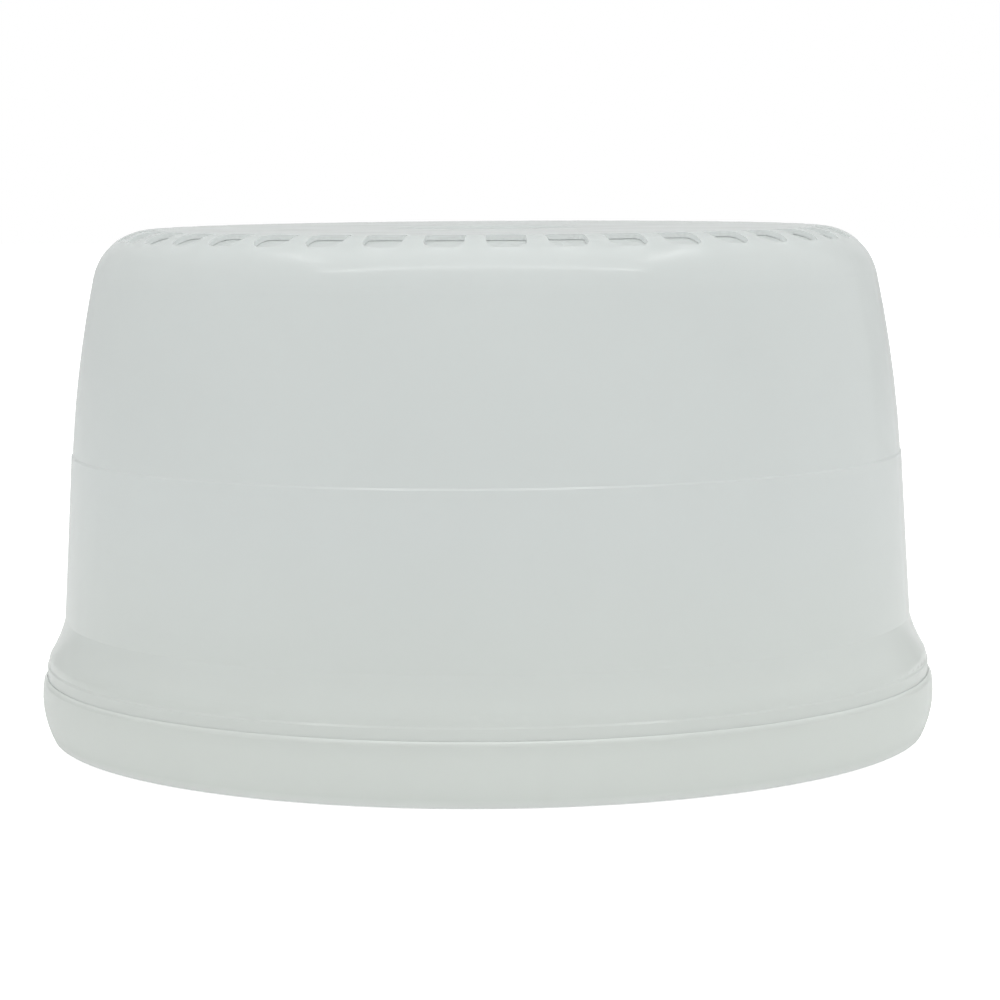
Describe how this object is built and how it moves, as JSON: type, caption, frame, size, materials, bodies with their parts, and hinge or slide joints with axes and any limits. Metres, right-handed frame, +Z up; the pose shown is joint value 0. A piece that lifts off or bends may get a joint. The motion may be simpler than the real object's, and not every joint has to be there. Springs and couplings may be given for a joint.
{
  "type": "humidity dome tray",
  "caption": "Round milky plastic propagator: a vented dome with a turning vent ring over a perforated seed tray that stands in a water tray.",
  "frame": {"origin": "on the common axis, at the level of the surface that the water tray stands on", "axes": "+Z up along the common axis; +X to the right seen from the front, -Y towards the viewer; the lifting tabs lie on X"},
  "size_m": [0.2802, 0.2802, 0.157],
  "materials": {
    "milky_plastic": "milky translucent polypropylene, satin",
    "tray_plastic": "milky translucent polypropylene, satin",
    "dome_plastic": "milky translucent polypropylene, satin",
    "shutter_plastic": "milky polypropylene, satin",
    "dial_plastic": "milky polypropylene, satin",
    "washer_rubber": "soft pale silicone",
    "rivet_plastic": "natural nylon"
  },
  "bodies": {
    "water_tray": {"base_tray": "milky_plastic"},
    "seed_tray": {"seed_tray": "tray_plastic"},
    "dome": {"dome": "dome_plastic"},
    "vent": {"vent_shutter": "shutter_plastic", "vent_dial": "dial_plastic", "vent_washer": "washer_rubber", "hub_rivet": "rivet_plastic"}
  },
  "joints": [
    {"name": "dome_lift", "type": "slide", "parent": "water_tray", "child": "dome", "axis": [0, 0, 1], "range_m": [0, 0.06]},
    {"name": "seed_tray_lift", "type": "slide", "parent": "water_tray", "child": "seed_tray", "axis": [0, 0, 1], "range_m": [0, 0.045]},
    {"name": "vent_turn", "type": "hinge", "parent": "dome", "child": "vent", "pos_m": [0, 0, 0.148], "axis": [0, 0, 1], "range_deg": [0, 4.5]}
  ]
}
